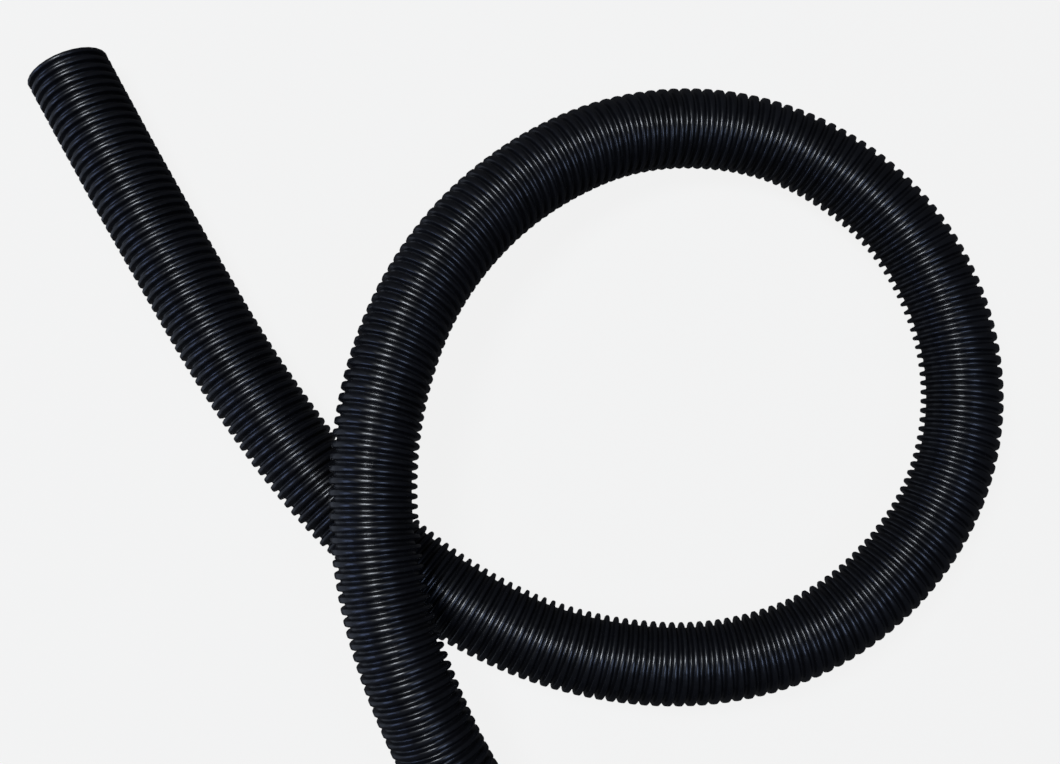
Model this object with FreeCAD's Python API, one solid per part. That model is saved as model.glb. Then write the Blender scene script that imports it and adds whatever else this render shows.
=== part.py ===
"""A spiral-ribbed vacuum hose lying in one open loop on a flat floor.

One end is a bare cut. The other end is screwed into a threaded ferrule that carries a swivel cuff:
an O-ring seals the cuff, a thrust washer takes the pull, and a snap ring keeps the cuff on.

Millimetres, +Z up, floor at Z = 0, origin under the middle of the bounding box.
"""
import math
import os

import FreeCAD
import Part
from FreeCAD import Vector

# Hose: the wall runs from the smooth bore out to the crests of the spiral rib.
HOSE_BORE_R = 19.0
HOSE_CREST_R = 24.0
BEND_SHARE = 0.45  # of the shorter run that an arc takes on each side of its corner

# Route of the hose's centreline, from the bare cut end to the end inside the cuff. The strand passes
# over its own first stretch between the two points that stand highest.
ROUTE = [
    (-271, 300, 24),
    (-237, 238, 24),
    (-202, 178, 24),
    (-167, 119, 24),
    (-117, 52, 24),
    (-54, -4, 24),
    (21, -39, 24),
    (107, -46, 24),
    (184, -17, 24),
    (241, 50, 24),
    (253, 133, 24),
    (220, 212, 24),
    (150, 262, 24),
    (65, 268, 31),
    (-10, 231, 46),
    (-64, 168, 62),
    (-89, 88, 73),
    (-86, 4, 73),
    (-58, -75, 68),
    (-18, -144, 47),
    (41, -204, 29),
    (101, -241, 25),
    (165, -265, 32),
    (232, -278, 32),
]

# Swivel end, measured along the hose's axis from its end face, positive out of the hose.
RUN_CLEARANCE = 0.08  # radial, between the ferrule's lands and the cuff
FACE_GAP = 0.3  # between faces of the two turning bodies
LAND_R = 28.0

SKIRT_BACK = -36.0
SKIRT_R = 26.4
SKIRT_CHAMFER = 0.8
FLANGE_BACK, FLANGE_FRONT = -12.0, -8.5
NOSE_FRONT = 7.0
NOSE_BORE_R = 18.4  # a lip over the hose's end face
NOSE_CHAMFER = 0.6
GROOVE_BACK, GROOVE_FRONT = 2.0, 5.0
GROOVE_R = 24.6

O_RING_SECTION_R = 1.35
O_RING_GAP = 0.05

WASHER_THICK = 1.2
WASHER_BORE_R = 26.7

SNAP_THICK = 1.5
SNAP_BORE_R = 26.8
SNAP_R = 29.3
SNAP_SPLIT = 9.0
SNAP_SEAT_GAP = 0.1

CUFF_BORE_R = LAND_R + RUN_CLEARANCE
CUFF_BACK = -24.0
CUFF_BARREL_R = 32.0
CUFF_BARREL_FRONT = 11.0
CUFF_CHAMFER = 1.5
CUFF_SHOULDER_LONG = 8.0
CUFF_MOUTH = 56.0
MOUTH_BORE_R = 19.1
MOUTH_ROOT_R = 24.2
MOUTH_TIP_R = 22.6
BEAD_R = 23.8
BEAD_LONG = 5.0
BEAD_CHAMFER = 1.2
MOUTH_LEAD = 1.0  # chamfer that leads the fitting into the mouth
FLUTES = 18
FLUTE_R = 4.0
FLUTE_DEPTH = 1.3
FLUTE_BACK, FLUTE_FRONT = -19.0, 8.0


def corner_arcs(points):
    """For each inner point of the route: where its arc starts, passes and ends, and its radius."""
    arcs = []
    for before, corner, after in zip(points, points[1:], points[2:]):
        back, on = (before - corner), (after - corner)
        setback = BEND_SHARE * min(back.Length, on.Length)
        back.normalize()
        on.normalize()
        half_turn = (math.pi - back.getAngle(on)) / 2
        radius = setback / math.tan(half_turn)
        inward = (back + on).normalize()
        middle = corner + inward * radius * (1 / math.cos(half_turn) - 1)
        arcs.append((corner + back * setback, middle, corner + on * setback, radius))
    return arcs


def tube(edges, heading):
    """The hose's wall swept along edges, which start out along heading."""
    wire = Part.Wire(edges)
    start = edges[0].firstVertex().Point
    solids = []
    for radius in (HOSE_CREST_R, HOSE_BORE_R):
        circle = Part.Wire(Part.Circle(start, heading, radius).toShape())
        sweep = Part.BRepOffsetAPI.MakePipeShell(wire)
        sweep.add(circle)
        sweep.build()
        sweep.makeSolid()
        solids.append(sweep.shape())
    return solids[0].cut(solids[1])


def line(start, end):
    return Part.LineSegment(start, end).toShape()


def hose():
    """The whole hose: a straight piece at each end, and bends between them that meet face to face.

    The bends meet in the middle of each straight run.
    """
    points = [Vector(*p) for p in ROUTE]
    arcs = corner_arcs(points)
    joins = [arcs[0][0]] + [(a + b) / 2 for a, b in zip(points[1:-2], points[2:-1])] + [arcs[-1][2]]
    pieces = [tube([line(points[0], joins[0])], points[1] - points[0])]
    length = (joins[0] - points[0]).Length + (points[-1] - joins[-1]).Length
    for k, (start, middle, end, radius) in enumerate(arcs):
        edges = [Part.Arc(start, middle, end).toShape()]
        if k > 0:
            edges.insert(0, line(joins[k], start))
        if k < len(arcs) - 1:
            edges.append(line(end, joins[k + 1]))
        pieces.append(tube(edges, points[k + 1] - points[k]))
        length += sum(edge.Length for edge in edges)
        print(f"point {k + 1}: arc radius {radius:.0f}")
    pieces.append(tube([line(joins[-1], points[-1])], points[-1] - points[-2]))
    whole = Part.makeCompound(pieces)
    section = math.pi * (HOSE_CREST_R**2 - HOSE_BORE_R**2)
    print(f"hose length {length:.0f}, volume ratio {whole.Volume / section / length:.5f}")
    return whole


def turned(outline):
    """A closed outline of (along, radius) points, turned about the X axis."""
    corners = [Vector(along, 0, radius) for along, radius in outline]
    face = Part.Face(Part.makePolygon(corners + corners[:1]))
    return face.revolve(Vector(0, 0, 0), Vector(1, 0, 0), 360)


def threaded_ferrule():
    return turned(
        [
            (SKIRT_BACK, HOSE_CREST_R),
            (0, HOSE_CREST_R),
            (0, NOSE_BORE_R),
            (NOSE_FRONT, NOSE_BORE_R),
            (NOSE_FRONT, LAND_R - NOSE_CHAMFER),
            (NOSE_FRONT - NOSE_CHAMFER, LAND_R),
            (GROOVE_FRONT, LAND_R),
            (GROOVE_FRONT, GROOVE_R),
            (GROOVE_BACK, GROOVE_R),
            (GROOVE_BACK, LAND_R),
            (0, LAND_R),
            (0, SKIRT_R),
            (FLANGE_FRONT, SKIRT_R),
            (FLANGE_FRONT, LAND_R),
            (FLANGE_BACK, LAND_R),
            (FLANGE_BACK, SKIRT_R),
            (SKIRT_BACK + SKIRT_CHAMFER, SKIRT_R),
            (SKIRT_BACK, SKIRT_R - SKIRT_CHAMFER),
        ]
    )


def o_ring():
    ring_r = GROOVE_R + O_RING_GAP + O_RING_SECTION_R
    middle = (GROOVE_BACK + GROOVE_FRONT) / 2
    return Part.makeTorus(ring_r, O_RING_SECTION_R, Vector(middle, 0, 0), Vector(1, 0, 0))


def ring(back, front, inner, outer):
    return turned([(back, inner), (front, inner), (front, outer), (back, outer)])


def thrust_washer():
    return ring(FLANGE_BACK - WASHER_THICK, FLANGE_BACK, WASHER_BORE_R, LAND_R)


def snap_ring_front():
    return FLANGE_BACK - WASHER_THICK - FACE_GAP


def snap_ring():
    front = snap_ring_front()
    whole = ring(front - SNAP_THICK, front, SNAP_BORE_R, SNAP_R)
    corner = Vector(front - 2 * SNAP_THICK, -SNAP_SPLIT / 2, 0)
    return whole.cut(Part.makeBox(2 * SNAP_THICK, SNAP_SPLIT, 2 * SNAP_R, corner))


def swivel_cuff():
    seat_front = snap_ring_front() + SNAP_SEAT_GAP
    seat_back = snap_ring_front() - SNAP_THICK - SNAP_SEAT_GAP
    shoulder = NOSE_FRONT + FACE_GAP
    bead_back = CUFF_MOUTH - BEAD_LONG
    body = turned(
        [
            (CUFF_BACK, CUFF_BORE_R),
            (seat_back, CUFF_BORE_R),
            (seat_back, SNAP_R),
            (seat_front, SNAP_R),
            (seat_front, CUFF_BORE_R),
            (shoulder, CUFF_BORE_R),
            (shoulder, MOUTH_BORE_R),
            (CUFF_MOUTH - MOUTH_LEAD, MOUTH_BORE_R),
            (CUFF_MOUTH, MOUTH_BORE_R + MOUTH_LEAD),
            (CUFF_MOUTH, BEAD_R - BEAD_CHAMFER),
            (CUFF_MOUTH - BEAD_CHAMFER, BEAD_R),
            (bead_back + BEAD_CHAMFER, BEAD_R),
            (bead_back, MOUTH_TIP_R),
            (CUFF_BARREL_FRONT + CUFF_SHOULDER_LONG, MOUTH_ROOT_R),
            (CUFF_BARREL_FRONT + CUFF_CHAMFER, CUFF_BARREL_R - 2 * CUFF_CHAMFER),
            (CUFF_BARREL_FRONT, CUFF_BARREL_R - CUFF_CHAMFER),
            (CUFF_BARREL_FRONT - CUFF_CHAMFER, CUFF_BARREL_R),
            (CUFF_BACK + CUFF_CHAMFER, CUFF_BARREL_R),
            (CUFF_BACK, CUFF_BARREL_R - CUFF_CHAMFER),
        ]
    )
    flutes = [flute(2 * math.pi * (k + 0.5) / FLUTES) for k in range(FLUTES)]
    return body.cut(Part.makeCompound(flutes))


def flute(angle):
    """One finger groove along the cuff's barrel, with round ends."""
    reach = CUFF_BARREL_R + FLUTE_R - FLUTE_DEPTH
    start = Vector(FLUTE_BACK + FLUTE_R, reach * math.sin(angle), reach * math.cos(angle))
    long = FLUTE_FRONT - FLUTE_BACK - 2 * FLUTE_R
    along = Vector(1, 0, 0)
    rod = Part.makeCylinder(FLUTE_R, long, start, along)
    ends = [Part.makeSphere(FLUTE_R, start), Part.makeSphere(FLUTE_R, start + along * long)]
    return rod.multiFuse(ends).removeSplitter()


def on_hose_end(shape):
    """Moves a shape built along the X axis onto the hose's end in the cuff."""
    end, before = Vector(*ROUTE[-1]), Vector(*ROUTE[-2])
    turn = FreeCAD.Rotation(Vector(1, 0, 0), end - before)
    shape.Placement = FreeCAD.Placement(end, turn)
    return shape


def main():
    os.makedirs("parts", exist_ok=True)
    nodes = {"hose": hose()}
    for make in (threaded_ferrule, o_ring, thrust_washer, snap_ring, swivel_cuff):
        nodes[make.__name__] = on_hose_end(make())
    for name, shape in nodes.items():
        box = shape.BoundBox
        print(f"{name}: valid {shape.isValid()}, solids {len(shape.Solids)}, {shape.Volume / 1000:.2f} cm3")
        sides = zip("xyz", (box.XMin, box.YMin, box.ZMin), (box.XMax, box.YMax, box.ZMax))
        print("    " + ", ".join(f"{side} {low:.1f}..{high:.1f}" for side, low, high in sides))
        shape.exportStep(f"parts/{name}.step")


main()
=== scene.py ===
"""A black spiral-ribbed vacuum hose lying in one open loop on a pale floor, seen from above.

The hose is one closed mesh that follows its route: a helical ribbed skin, a bore and two square cut ends.
Its far end, out of the camera's view, is screwed into a threaded ferrule that carries a swivel cuff.
Lengths are in metres, and route and camera are in the frame of the CAD model.
"""
import math

import bmesh
import bpy
import numpy as np
from mathutils import Matrix, Vector, noise


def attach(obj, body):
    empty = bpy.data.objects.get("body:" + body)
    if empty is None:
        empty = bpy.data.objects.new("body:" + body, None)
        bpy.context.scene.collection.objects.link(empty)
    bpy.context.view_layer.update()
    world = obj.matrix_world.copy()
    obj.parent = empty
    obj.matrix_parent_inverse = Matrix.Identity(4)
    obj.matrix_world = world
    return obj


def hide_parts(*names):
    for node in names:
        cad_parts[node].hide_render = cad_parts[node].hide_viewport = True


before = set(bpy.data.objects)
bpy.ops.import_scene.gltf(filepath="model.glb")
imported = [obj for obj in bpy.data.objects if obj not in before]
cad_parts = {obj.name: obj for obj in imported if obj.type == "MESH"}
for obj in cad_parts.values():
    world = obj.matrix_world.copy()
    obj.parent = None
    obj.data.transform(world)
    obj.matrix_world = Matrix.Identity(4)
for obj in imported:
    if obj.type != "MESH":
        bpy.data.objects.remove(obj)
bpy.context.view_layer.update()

MM = 0.001

# ---------------------------------------------------------------- sizes

HOSE_BORE_R = 19.0 * MM
HOSE_ROOT_R = 20.6 * MM
HOSE_CREST_R = 24.0 * MM
GROOVE_FILL = 0.8 * MM  # how much shallower the groove is at the outside of a bend than at its inside
RELAXED_PITCH = 5.3 * MM
LEFT_HANDED = -1
RIB_START = 0.75  # turns from the top of the hose to where the rib's crest meets the cut end
TIGHT_BEND_R = 143 * MM  # a little tighter than any bend of the hose
OVAL_SHARE = 0.044  # how much narrower the hose is across such a bend, as a share of its width
PITCH_WANDER, PITCH_WANDER_LONG = 0.02, 31 * MM  # share of the pitch, and length over which it changes
CREST_WANDER, CREST_WANDER_STEPS = 0.03, 41  # share of the rib's height, and steps over which it changes

# The hose's route, from its bare cut end to its end inside the cuff.
ROUTE_MM = [
    (-271, 300, 24),
    (-237, 238, 24),
    (-202, 178, 24),
    (-167, 119, 24),
    (-117, 52, 24),
    (-54, -4, 24),
    (21, -39, 24),
    (107, -46, 24),
    (184, -17, 24),
    (241, 50, 24),
    (253, 133, 24),
    (220, 212, 24),
    (150, 262, 24),
    (65, 268, 31),
    (-10, 231, 46),
    (-64, 168, 62),
    (-89, 88, 73),
    (-86, 4, 73),
    (-58, -75, 68),
    (-18, -144, 47),
    (41, -204, 29),
    (101, -241, 25),
    (165, -265, 32),
    (232, -278, 32),
]

# ---------------------------------------------------------------- camera

CAMERA_PLACE = (-0.030, 0.036, 0.795)
CAMERA_TURN_X, CAMERA_TURN_Y = math.radians(5.99), math.radians(-2.05)
CAMERA_LENS, CAMERA_SENSOR = 45.85, 36  # both in millimetres


def set_camera():
    """A camera about 0.8 m above the hose, turned a few degrees off straight down."""
    camera = bpy.data.objects.new("camera", bpy.data.cameras.new("camera"))
    camera.data.sensor_width = CAMERA_SENSOR
    camera.data.lens = CAMERA_LENS
    camera.data.clip_start = 0.05
    turn = Matrix.Rotation(CAMERA_TURN_X, 4, "X") @ Matrix.Rotation(CAMERA_TURN_Y, 4, "Y")
    camera.matrix_world = Matrix.Translation(CAMERA_PLACE) @ turn
    bpy.context.collection.objects.link(camera)
    bpy.context.scene.camera = camera


# ---------------------------------------------------------------- the hose's line


def route_line():
    """Points along the smooth line that has the route's points as control points."""
    curve = bpy.data.curves.new("route", "CURVE")
    curve.dimensions = "3D"
    curve.resolution_u = 24
    spline = curve.splines.new("NURBS")
    spline.points.add(len(ROUTE_MM) - 1)
    for point, (x, y, z) in zip(spline.points, ROUTE_MM):
        point.co = (x * MM, y * MM, z * MM, 1)
    spline.order_u = 3
    spline.use_endpoint_u = True
    holder = bpy.data.objects.new("route", curve)
    mesh = bpy.data.meshes.new_from_object(holder)
    line = np.array([v.co for v in mesh.vertices])
    bpy.data.meshes.remove(mesh)
    bpy.data.objects.remove(holder)
    bpy.data.curves.remove(curve)
    return line


def smoothed(values, step, width):
    """values, taken every step metres, averaged over a window of that width."""
    half = max(1, round(width / step / 2))
    weights = np.hanning(2 * half + 1)
    padded = np.pad(values, half, mode="edge")
    return np.convolve(padded, weights / weights.sum(), mode="valid")


class Line:
    """The hose's centreline by length: place, directions along and across, bend, and count of rib turns."""

    STEP = 1.0 * MM
    BEND_WINDOW = 60 * MM  # the bend is averaged over this length, so that it changes gently

    def __init__(self, points):
        along = np.r_[0, np.cumsum(np.linalg.norm(np.diff(points, axis=0), axis=1))]
        self.length = along[-1]
        self.at = np.arange(0, self.length + self.STEP / 2, self.STEP)
        self.place = np.stack([np.interp(self.at, along, points[:, k]) for k in range(3)], axis=1)
        ahead = np.gradient(self.place, axis=0)
        self.ahead = ahead / np.linalg.norm(ahead, axis=1)[:, None]
        towards = np.gradient(self.ahead, self.STEP, axis=0)
        self.bend = self.evened(np.linalg.norm(towards, axis=1))
        self.up, self.side = self.carried_frame()
        away = [self.evened(-np.sum(towards * cross, axis=1)) for cross in (self.up, self.side)]
        self.outwards = np.stack(away, axis=1)
        # The inside of a bend keeps the relaxed pitch, so the middle and the outside open up.
        pitch = RELAXED_PITCH * (1 + HOSE_CREST_R * self.bend)
        pitch *= 1 + PITCH_WANDER * wander(self.at / PITCH_WANDER_LONG, 5)
        self.turns = np.r_[0, np.cumsum(self.STEP / (pitch[1:] + pitch[:-1]) * 2)]

    def evened(self, bend):
        """bend, given at each point of the line, averaged along it."""
        return smoothed(bend, self.STEP, self.BEND_WINDOW)

    def carried_frame(self):
        """Cross directions carried along the line without twist."""
        up = np.zeros_like(self.ahead)
        now = np.array([0.0, 0.0, 1.0])
        for k, ahead in enumerate(self.ahead):
            now = now - ahead * now.dot(ahead)
            now /= np.linalg.norm(now)
            up[k] = now
        return up, np.cross(self.ahead, up)

    def surface(self, s, angle, radius):
        """Points at length s, at that angle round the line and that far from it, narrowed in a bend."""
        inside = np.clip(s, 0, self.length)
        wanted = (self.place, self.ahead, self.up, self.side)
        place, ahead, up, side = (self.read(values, inside) for values in wanted)
        over = (s - inside)[..., None]
        narrowed = 1 - OVAL_SHARE * (TIGHT_BEND_R * np.interp(inside, self.at, self.bend)) ** 2
        around = up * np.cos(angle)[..., None] + side * (narrowed * np.sin(angle))[..., None]
        return place + ahead * over + around * radius[..., None]

    def stretch(self, s, angle):
        """From -1 at the inside of a bend of TIGHT_BEND_R to 1 at its outside, and 0 where straight."""
        outwards = self.read(self.outwards, s) * TIGHT_BEND_R
        return np.clip(outwards[..., 0] * np.cos(angle) + outwards[..., 1] * np.sin(angle), -1, 1)

    def read(self, values, s):
        return np.stack([np.interp(s, self.at, column) for column in values.T], axis=-1)

    def at_turn(self, turn):
        """The length at which the rib has made that many turns, also a little past both ends."""
        s = np.interp(turn, self.turns, self.at)
        s = np.where(turn < 0, turn * RELAXED_PITCH, s)
        beyond = turn - self.turns[-1]
        return np.where(beyond > 0, self.length + beyond * RELAXED_PITCH, s)


def wander(values, seed):
    """Smooth noise from -1 to 1 along values, the same on each run."""
    drawn = [noise.noise((float(v), seed * 7.3, 0.5)) for v in np.ravel(values)]
    return np.array(drawn).reshape(np.shape(values))


# ---------------------------------------------------------------- meshes


def mesh_object(name, points, faces, smooth=True):
    mesh = bpy.data.meshes.new(name)
    mesh.from_pydata([tuple(p) for p in points], [], [tuple(f) for f in faces])
    mesh.update()
    if smooth:
        mesh.polygons.foreach_set("use_smooth", [True] * len(mesh.polygons))
    piece = bpy.data.objects.new(name, mesh)
    bpy.context.collection.objects.link(piece)
    return piece


# Half of the rib's section: distance from its crest as a share of the pitch, at the inside of a bend
# and at its outside, and share of its height.
RIB_HALF = [
    (0.00, 0.00, 1.0),
    (0.11, 0.19, 0.97),
    (0.19, 0.29, 0.80),
    (0.26, 0.36, 0.25),
    (0.32, 0.43, 0.02),
    (0.50, 0.50, 0.0),
]
AROUND = 28  # points round the hose
BORE_STEP = 12 * MM
SAME_POINT = 0.005 * MM  # points of a cut closer than this are one


def rib_section(stretch):
    """One pitch of the rib from groove to groove: shares of the pitch for each stretch, and heights."""
    outer = (1 + stretch) / 2
    away = np.array([inside + (outside - inside) * outer for inside, outside, _ in RIB_HALF]).T
    height = np.array([row[2] for row in RIB_HALF])
    shares = np.concatenate([0.5 - away[:, ::-1], 0.5 + away[:, 1:-1]], axis=1)
    return shares, np.concatenate([height[::-1], height[1:-1]])


def rib_skin(line):
    """Points and faces of the helical outer skin, reaching past both ends, where it is cut later."""
    total = int(math.ceil(line.turns[-1])) + 3
    steps = np.arange(total * AROUND + 1)
    angle = LEFT_HANDED * 2 * math.pi * (steps / AROUND + RIB_START)
    crest = np.clip(line.at_turn(steps / AROUND - 1), 0, line.length)
    stretch = line.stretch(crest, angle)
    shares, heights = rib_section(stretch)
    count = len(heights)
    turn = steps[:, None] / AROUND - 1.5 + shares
    angle = np.repeat(angle[:, None], count, axis=1)
    s = line.at_turn(turn)
    tall = 1 + CREST_WANDER * wander(steps / CREST_WANDER_STEPS, 11)[:, None]
    root = HOSE_ROOT_R + GROOVE_FILL * (1 + stretch[:, None]) / 2
    radius = root + (HOSE_CREST_R - root) * np.minimum(heights[None, :] * tall, 1.0)
    points = line.surface(s, angle, radius).reshape(-1, 3)
    k = steps[:-1, None] * count + np.arange(count - 1)[None, :]
    across = np.stack([k, k + 1, k + 1 + count, k + count], axis=-1).reshape(-1, 4)
    # The last point of a section joins the first point of the next turn's section.
    j = steps[: -1 - AROUND]
    last, first = j * count + count - 1, (j + AROUND) * count
    seam = np.stack([last, first, first + count, last + count], axis=-1)
    return points, np.concatenate([across, seam])


def bore_skin(line):
    """Points and faces of the bore, as rings that reach past both ends."""
    rings = int(round(line.length / BORE_STEP))
    s = np.linspace(-BORE_STEP, line.length + BORE_STEP, rings + 3)
    angle = 2 * math.pi * np.arange(AROUND) / AROUND
    grid_s, grid_angle = np.meshgrid(s, angle, indexing="ij")
    points = line.surface(grid_s, grid_angle, np.full(grid_s.shape, HOSE_BORE_R)).reshape(-1, 3)
    ring = np.arange(len(s) - 1)[:, None] * AROUND
    here = np.arange(AROUND)[None, :]
    there = (here + 1) % AROUND
    faces = np.stack([ring + here, ring + there, ring + AROUND + there, ring + AROUND + here], axis=-1)
    return points, faces.reshape(-1, 4)


def cut_square(bm, place, outward):
    """Cuts the open end off square at place, and closes the wall between bore and skin."""
    reach = 2 * HOSE_CREST_R
    near = [f for f in bm.faces if (f.calc_center_median() - place).length < reach]
    # Dictionaries keep their order, so the mesh comes out the same on each run. Sets would not.
    edges = dict.fromkeys(e for f in near for e in f.edges)
    corners = dict.fromkeys(v for f in near for v in f.verts)
    geometry = [*near, *edges, *corners]
    cut = bmesh.ops.bisect_plane(bm, geom=geometry, plane_co=place, plane_no=outward, clear_outer=True)
    on_cut = [v for v in cut["geom_cut"] if isinstance(v, bmesh.types.BMVert)]
    bmesh.ops.remove_doubles(bm, verts=on_cut, dist=SAME_POINT)
    rim = [e for e in bm.edges if e.is_boundary and (e.verts[0].co - place).length < reach]
    for edge in rim:
        edge.smooth = False
    wall = bmesh.ops.triangle_fill(bm, edges=rim, use_beauty=True, normal=outward)
    for face in wall["geom"]:
        if isinstance(face, bmesh.types.BMFace):
            face.smooth = False


def make_hose(line):
    skin, skin_faces = rib_skin(line)
    bore, bore_faces = bore_skin(line)
    points = np.concatenate([skin, bore])
    faces = np.concatenate([skin_faces, bore_faces[:, ::-1] + len(skin)])
    piece = mesh_object("hose_ribbed", points, faces)
    bm = bmesh.new()
    bm.from_mesh(piece.data)
    ends = [(line.place[0], -line.ahead[0]), (line.place[-1], line.ahead[-1])]
    for place, outward in ends:
        cut_square(bm, Vector(place), Vector(outward))
    loose = [v for v in bm.verts if not v.link_faces]
    bmesh.ops.delete(bm, geom=loose, context="VERTS")
    bmesh.ops.recalc_face_normals(bm, faces=bm.faces[:])
    open_edges = sum(1 for e in bm.edges if len(e.link_faces) != 2)
    print("hose_ribbed: faces", len(bm.faces), "open or shared edges", open_edges)
    bm.to_mesh(piece.data)
    bm.free()
    # Wide faces count for more in the normals, so the crests and the grooves look flat across.
    flat_bands = piece.modifiers.new("flat_bands", "WEIGHTED_NORMAL")
    flat_bands.weight = 85
    flat_bands.keep_sharp = True
    piece.data.calc_loop_triangles()
    print("hose_ribbed: triangles", len(piece.data.loop_triangles), "line length", round(line.length, 4))
    return piece


# ---------------------------------------------------------------- swivel end

# Measured along the hose's axis from its end in the cuff, positive out of the hose.
LAND_R = 28.0 * MM
SKIRT_BACK, SKIRT_R = -36.0 * MM, 26.4 * MM
FLANGE_BACK, FLANGE_FRONT = -12.0 * MM, -8.5 * MM
NOSE_FRONT, NOSE_BORE_R = 7.0 * MM, 18.4 * MM
GROOVE_BACK, GROOVE_FRONT, GROOVE_R = 2.0 * MM, 5.0 * MM, 24.6 * MM

CUFF_BORE_R = 28.08 * MM
CUFF_BACK, CUFF_BARREL_FRONT, CUFF_BARREL_R = -24.0 * MM, 11.0 * MM, 32.0 * MM
CUFF_SHOULDER_LONG = 8.0 * MM
CUFF_SHOULDER = 7.3 * MM
CUFF_CHAMFER = 1.5 * MM
SEAT_BACK, SEAT_FRONT, SEAT_R = -15.1 * MM, -13.4 * MM, 29.3 * MM
CUFF_MOUTH, MOUTH_BORE_R, MOUTH_LEAD = 56.0 * MM, 19.1 * MM, 1.0 * MM
MOUTH_ROOT_R, MOUTH_TIP_R = 24.2 * MM, 22.6 * MM
BEAD_R, BEAD_LONG, BEAD_CHAMFER = 23.8 * MM, 5.0 * MM, 1.2 * MM
FLUTES, FLUTE_R, FLUTE_DEPTH = 18, 4.0 * MM, 1.3 * MM
FLUTE_BACK, FLUTE_FRONT = -19.0 * MM, 8.0 * MM

CUFF_SEGMENTS = FLUTES * 16
FERRULE_SEGMENTS = 144
SHARP_OVER = math.radians(32)


def softened(corners, longest):
    """A closed outline with its corners (along, radius, soft) rounded, in sides no longer than longest."""
    outline = []
    for before, corner, after in zip(corners[-1:] + corners[:-1], corners, corners[1:] + corners[:1]):
        middle = Vector(corner[:2])
        back, on = Vector(before[:2]) - middle, Vector(after[:2]) - middle
        if corner[2] == 0:
            outline.append(middle)
            continue
        start, end = middle + back.normalized() * corner[2], middle + on.normalized() * corner[2]
        for t in (0, 0.25, 0.5, 0.75, 1):
            outline.append(start * (1 - t) ** 2 + middle * 2 * t * (1 - t) + end * t**2)
    divided = []
    for here, there in zip(outline, outline[1:] + outline[:1]):
        parts = max(1, math.ceil((there - here).length / longest))
        divided += [here.lerp(there, k / parts) for k in range(parts)]
    return divided


def turned(name, outline, segments, dent=None):
    """The outline turned about the swivel's axis. dent gives how far to sink a point of the outside."""
    end, before = (Vector(ROUTE_MM[k]) * MM for k in (-1, -2))
    turn = Vector((1, 0, 0)).rotation_difference(end - before).to_matrix()
    points = []
    for along, radius in outline:
        for k in range(segments):
            angle = 2 * math.pi * k / segments
            r = radius - (dent(along, radius, angle) if dent else 0)
            points.append(end + turn @ Vector((along, r * math.sin(angle), r * math.cos(angle))))
    faces = []
    for j in range(len(outline)):
        here, there = j * segments, (j + 1) % len(outline) * segments
        for k in range(segments):
            on = (k + 1) % segments
            faces.append((here + k, here + on, there + on, there + k))
    piece = mesh_object(name, points, faces)
    bm = bmesh.new()
    bm.from_mesh(piece.data)
    bmesh.ops.recalc_face_normals(bm, faces=bm.faces[:])
    bm.to_mesh(piece.data)
    bm.free()
    piece.data.set_sharp_from_angle(angle=SHARP_OVER)
    return piece


def flute_depth(along, radius, angle):
    """How far a finger groove sinks the cuff's barrel there: a round-bottomed slot with round ends."""
    if radius < CUFF_BARREL_R - 0.01 * MM:
        return 0
    pitch = 2 * math.pi / FLUTES
    aside = CUFF_BARREL_R * (angle % pitch - pitch / 2)
    beyond = max(FLUTE_BACK + FLUTE_R - along, along - FLUTE_FRONT + FLUTE_R, 0)
    under = FLUTE_R**2 - aside**2 - beyond**2
    return max(0, math.sqrt(max(0, under)) - FLUTE_R + FLUTE_DEPTH)


def make_cuff():
    step_r = CUFF_BARREL_R - 2 * CUFF_CHAMFER
    soft, fine = 0.9 * MM, 0.25 * MM
    outline = softened(
        [
            (CUFF_BACK, CUFF_BORE_R, fine),
            (SEAT_BACK, CUFF_BORE_R, 0),
            (SEAT_BACK, SEAT_R, 0),
            (SEAT_FRONT, SEAT_R, 0),
            (SEAT_FRONT, CUFF_BORE_R, 0),
            (CUFF_SHOULDER, CUFF_BORE_R, 0),
            (CUFF_SHOULDER, MOUTH_BORE_R, fine),
            (CUFF_MOUTH - MOUTH_LEAD, MOUTH_BORE_R, fine),
            (CUFF_MOUTH, MOUTH_BORE_R + MOUTH_LEAD, fine),
            (CUFF_MOUTH, BEAD_R - BEAD_CHAMFER, 2 * fine),
            (CUFF_MOUTH - BEAD_CHAMFER, BEAD_R, 2 * fine),
            (CUFF_MOUTH - BEAD_LONG + BEAD_CHAMFER, BEAD_R, 2 * fine),
            (CUFF_MOUTH - BEAD_LONG, MOUTH_TIP_R, 0),
            (CUFF_BARREL_FRONT + CUFF_SHOULDER_LONG, MOUTH_ROOT_R, soft),
            (CUFF_BARREL_FRONT + CUFF_CHAMFER, step_r, soft),
            (CUFF_BARREL_FRONT, CUFF_BARREL_R - CUFF_CHAMFER, soft),
            (CUFF_BARREL_FRONT - CUFF_CHAMFER, CUFF_BARREL_R, soft),
            (CUFF_BACK + CUFF_CHAMFER, CUFF_BARREL_R, soft),
            (CUFF_BACK, CUFF_BARREL_R - CUFF_CHAMFER, soft),
        ],
        longest=1.1 * MM,
    )
    return turned("cuff_moulded", outline, CUFF_SEGMENTS, flute_depth)


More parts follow.
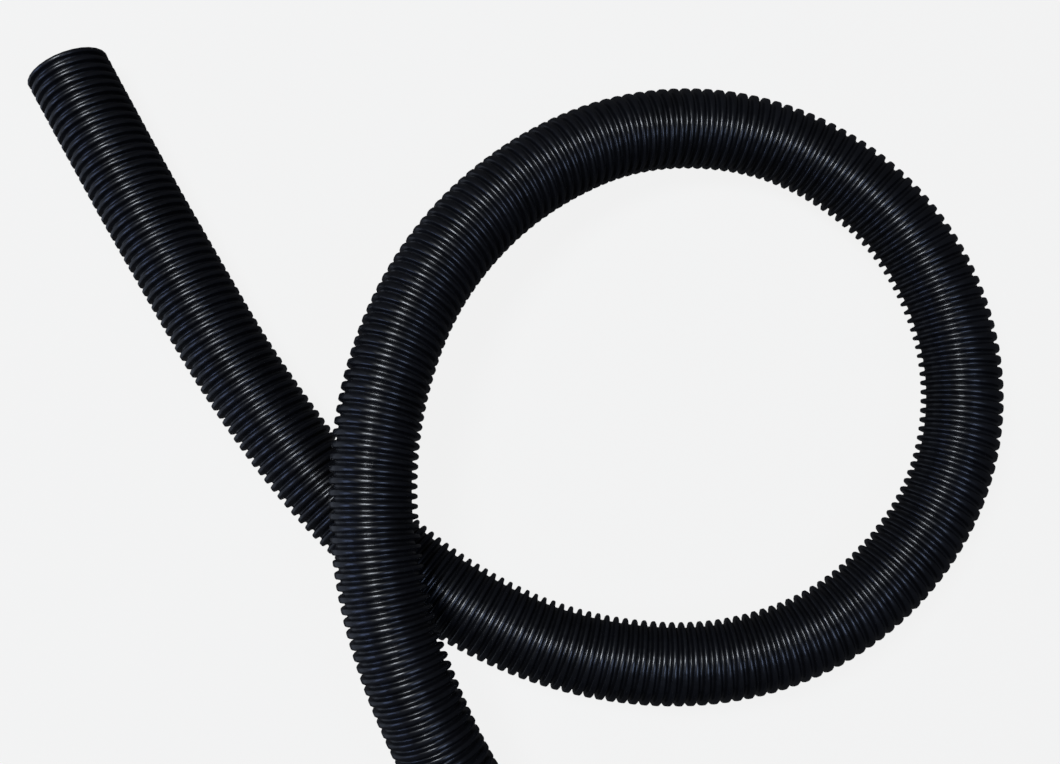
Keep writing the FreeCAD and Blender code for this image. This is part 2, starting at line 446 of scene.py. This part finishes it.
def make_ferrule():
    fine = 0.3 * MM
    outline = softened(
        [
            (SKIRT_BACK, HOSE_CREST_R, fine),
            (0, HOSE_CREST_R, 0),
            (0, NOSE_BORE_R, fine),
            (NOSE_FRONT, NOSE_BORE_R, fine),
            (NOSE_FRONT, LAND_R, 2 * fine),
            (GROOVE_FRONT, LAND_R, fine),
            (GROOVE_FRONT, GROOVE_R, 0),
            (GROOVE_BACK, GROOVE_R, 0),
            (GROOVE_BACK, LAND_R, fine),
            (0, LAND_R, fine),
            (0, SKIRT_R, 0),
            (FLANGE_FRONT, SKIRT_R, 0),
            (FLANGE_FRONT, LAND_R, fine),
            (FLANGE_BACK, LAND_R, fine),
            (FLANGE_BACK, SKIRT_R, 0),
            (SKIRT_BACK, SKIRT_R, 3 * fine),
        ],
        longest=3 * MM,
    )
    return turned("ferrule_moulded", outline, FERRULE_SEGMENTS)


# ---------------------------------------------------------------- materials


def new_material(name):
    material = bpy.data.materials.new(name)
    material.use_nodes = True
    nodes = material.node_tree.nodes
    return material, nodes, material.node_tree.links, nodes["Principled BSDF"]


def noise_node(nodes, links, scale, detail):
    """Noise over the piece, in its own metres."""
    where = nodes.new("ShaderNodeTexCoord")
    made = nodes.new("ShaderNodeTexNoise")
    made.inputs["Scale"].default_value = scale
    made.inputs["Detail"].default_value = detail
    links.new(where.outputs["Object"], made.inputs["Vector"])
    return made.outputs["Fac"]


def mapped(nodes, links, value, low, high):
    """value, from the middle of a noise's spread, as low to high."""
    spread = nodes.new("ShaderNodeMapRange")
    spread.inputs["From Min"].default_value = 0.3
    spread.inputs["From Max"].default_value = 0.7
    spread.inputs["To Min"].default_value = low
    spread.inputs["To Max"].default_value = high
    links.new(value, spread.inputs["Value"])
    return spread.outputs["Result"]


def two_tone(nodes, links, value, dark, light):
    """A colour between dark and light, by value."""
    ramp = nodes.new("ShaderNodeValToRGB")
    for end, place, colour in zip(ramp.color_ramp.elements, (0.3, 0.7), (dark, light)):
        end.position = place
        end.color = (*colour, 1)
    links.new(value, ramp.inputs["Fac"])
    return ramp.outputs["Color"]


def bumped(nodes, links, value, strength, distance, under=None):
    bump = nodes.new("ShaderNodeBump")
    bump.inputs["Strength"].default_value = strength
    bump.inputs["Distance"].default_value = distance
    links.new(value, bump.inputs["Height"])
    if under is not None:
        links.new(under, bump.inputs["Normal"])
    return bump.outputs["Normal"]


def hose_material():
    """Glossy black extruded plastic: faintly mottled, smeared with handling, and a little uneven."""
    material, nodes, links, shader = new_material("hose_black_plastic")
    shader.inputs["IOR"].default_value = 1.5
    mottle = noise_node(nodes, links, 45, 5)
    colour = two_tone(nodes, links, mottle, (0.0038, 0.0040, 0.0052), (0.0072, 0.0077, 0.0104))
    links.new(colour, shader.inputs["Base Color"])
    smears = noise_node(nodes, links, 160, 6)
    links.new(mapped(nodes, links, smears, 0.28, 0.42), shader.inputs["Roughness"])
    shader.inputs["Coat Weight"].default_value = 0.35
    shader.inputs["Coat Roughness"].default_value = 0.18
    dents = bumped(nodes, links, noise_node(nodes, links, 170, 1), 0.5, 0.0006)
    grain = bumped(nodes, links, noise_node(nodes, links, 900, 2), 0.10, 0.0001, under=dents)
    links.new(grain, shader.inputs["Normal"])
    links.new(dents, shader.inputs["Coat Normal"])
    return material


def plain_material(name, dark, light, rough, grain, mottle=60):
    """A two-tone material with uneven gloss and a fine grain.

    grain is its noise scale, its bump strength and its depth in metres.
    """
    material, nodes, links, shader = new_material(name)
    colour = two_tone(nodes, links, noise_node(nodes, links, mottle, 6), dark, light)
    links.new(colour, shader.inputs["Base Color"])
    links.new(mapped(nodes, links, noise_node(nodes, links, 220, 5), *rough), shader.inputs["Roughness"])
    scale, strength, depth = grain
    grained = bumped(nodes, links, noise_node(nodes, links, scale, 3), strength, depth)
    links.new(grained, shader.inputs["Normal"])
    return material, shader


def cuff_material():
    """Satin black moulding with a spark-eroded grain."""
    dark, light = (0.010, 0.010, 0.011), (0.017, 0.017, 0.018)
    return plain_material("cuff_black_moulded", dark, light, (0.36, 0.52), (2600, 0.35, 0.0001))[0]


def ferrule_material():
    """Smoother black moulding, a little greyer than the cuff."""
    dark, light = (0.014, 0.014, 0.015), (0.022, 0.022, 0.023)
    return plain_material("ferrule_black_moulded", dark, light, (0.30, 0.44), (1200, 0.2, 0.0001))[0]


def rubber_material():
    """Black rubber, shiny in patches where the grease lies."""
    dark, light = (0.006, 0.006, 0.006), (0.012, 0.012, 0.012)
    return plain_material("seal_greased_rubber", dark, light, (0.18, 0.5), (700, 0.3, 0.0001))[0]


def acetal_material():
    """White acetal, faintly waxy."""
    dark, light = (0.74, 0.73, 0.69), (0.83, 0.82, 0.79)
    material, shader = plain_material("washer_white_acetal", dark, light, (0.34, 0.46), (900, 0.15, 0.0001))
    shader.inputs["Subsurface Weight"].default_value = 0.1
    shader.inputs["Subsurface Radius"].default_value = (0.002, 0.002, 0.0015)
    return material


def steel_material():
    """Spring steel with a fine uneven polish."""
    dark, light = (0.42, 0.42, 0.43), (0.58, 0.58, 0.58)
    material, shader = plain_material("ring_spring_steel", dark, light, (0.22, 0.4), (1800, 0.25, 0.00005))
    shader.inputs["Metallic"].default_value = 1
    return material


def dress(node, material):
    """Gives a CAD node its finish."""
    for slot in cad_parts[node].material_slots:
        slot.material = material


def floor_material():
    """Near-white, mostly lit from within, so that the hose throws hardly any shadow on it."""
    material, _, _, shader = new_material("floor_pale")
    shader.inputs["Base Color"].default_value = (0.05, 0.05, 0.05, 1)
    shader.inputs["Roughness"].default_value = 1
    shader.inputs["Specular IOR Level"].default_value = 0
    shader.inputs["Emission Color"].default_value = (1, 1, 0.997, 1)
    shader.inputs["Emission Strength"].default_value = 0.866
    return material


# ---------------------------------------------------------------- stage

FLOOR_HALF = 40
# Name, place, side of its square, power in watts and colour of each light.
LIGHTS = [
    ("lamp", (-0.60, 0.45, 1.79), 0.5, 18.5, (0.86, 0.92, 1.0)),
    ("side_window", (-1.60, -0.25, 0.62), 0.7, 3.6, (0.42, 0.56, 1.0)),
    ("table_glow", (-1.00, 0.00, -0.28), 1.1, 0.9, (0.70, 0.80, 1.0)),
    ("far_window", (0.80, -0.50, 1.80), 0.7, 6.5, (0.50, 0.64, 1.0)),
]


def set_floor():
    half = FLOOR_HALF
    points = [(-half, -half, 0), (half, -half, 0), (half, half, 0), (-half, half, 0)]
    floor = mesh_object("floor", points, [(0, 1, 2, 3)], smooth=False)
    floor.data.materials.append(floor_material())
    # The hose's sides stay black, as over a dark table, instead of mirroring the pale floor.
    floor.visible_glossy = False
    floor.visible_diffuse = False
    # A faint light from under the floor's level stands for what a pale table throws back on one side.
    floor.visible_shadow = False


def area_light(name, place, size, power, colour):
    """A square light that faces the middle of the hose."""
    light = bpy.data.lights.new(name, "AREA")
    light.size = size
    light.energy = power
    light.color = colour
    holder = bpy.data.objects.new(name, light)
    holder.location = place
    holder.rotation_euler = (-Vector(place)).to_track_quat("-Z", "Y").to_euler()
    bpy.context.collection.objects.link(holder)


def set_lights():
    world = bpy.data.worlds.new("studio")
    world.use_nodes = True
    sky = world.node_tree.nodes["Background"]
    sky.inputs["Color"].default_value = (0.78, 0.82, 0.92, 1)
    sky.inputs["Strength"].default_value = 0.036
    bpy.context.scene.world = world
    for light in LIGHTS:
        area_light(*light)


bpy.context.scene.view_settings.view_transform = "Standard"
set_camera()
line = Line(route_line())
hose = make_hose(line)
hose.data.materials.append(hose_material())
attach(hose, "hose_line")
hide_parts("hose")
cuff = make_cuff()
cuff.data.materials.append(cuff_material())
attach(cuff, "cuff")
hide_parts("swivel_cuff")
ferrule = make_ferrule()
ferrule.data.materials.append(ferrule_material())
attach(ferrule, "hose_line")
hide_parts("threaded_ferrule")
dress("o_ring", rubber_material())
dress("thrust_washer", acetal_material())
dress("snap_ring", steel_material())
set_floor()
set_lights()
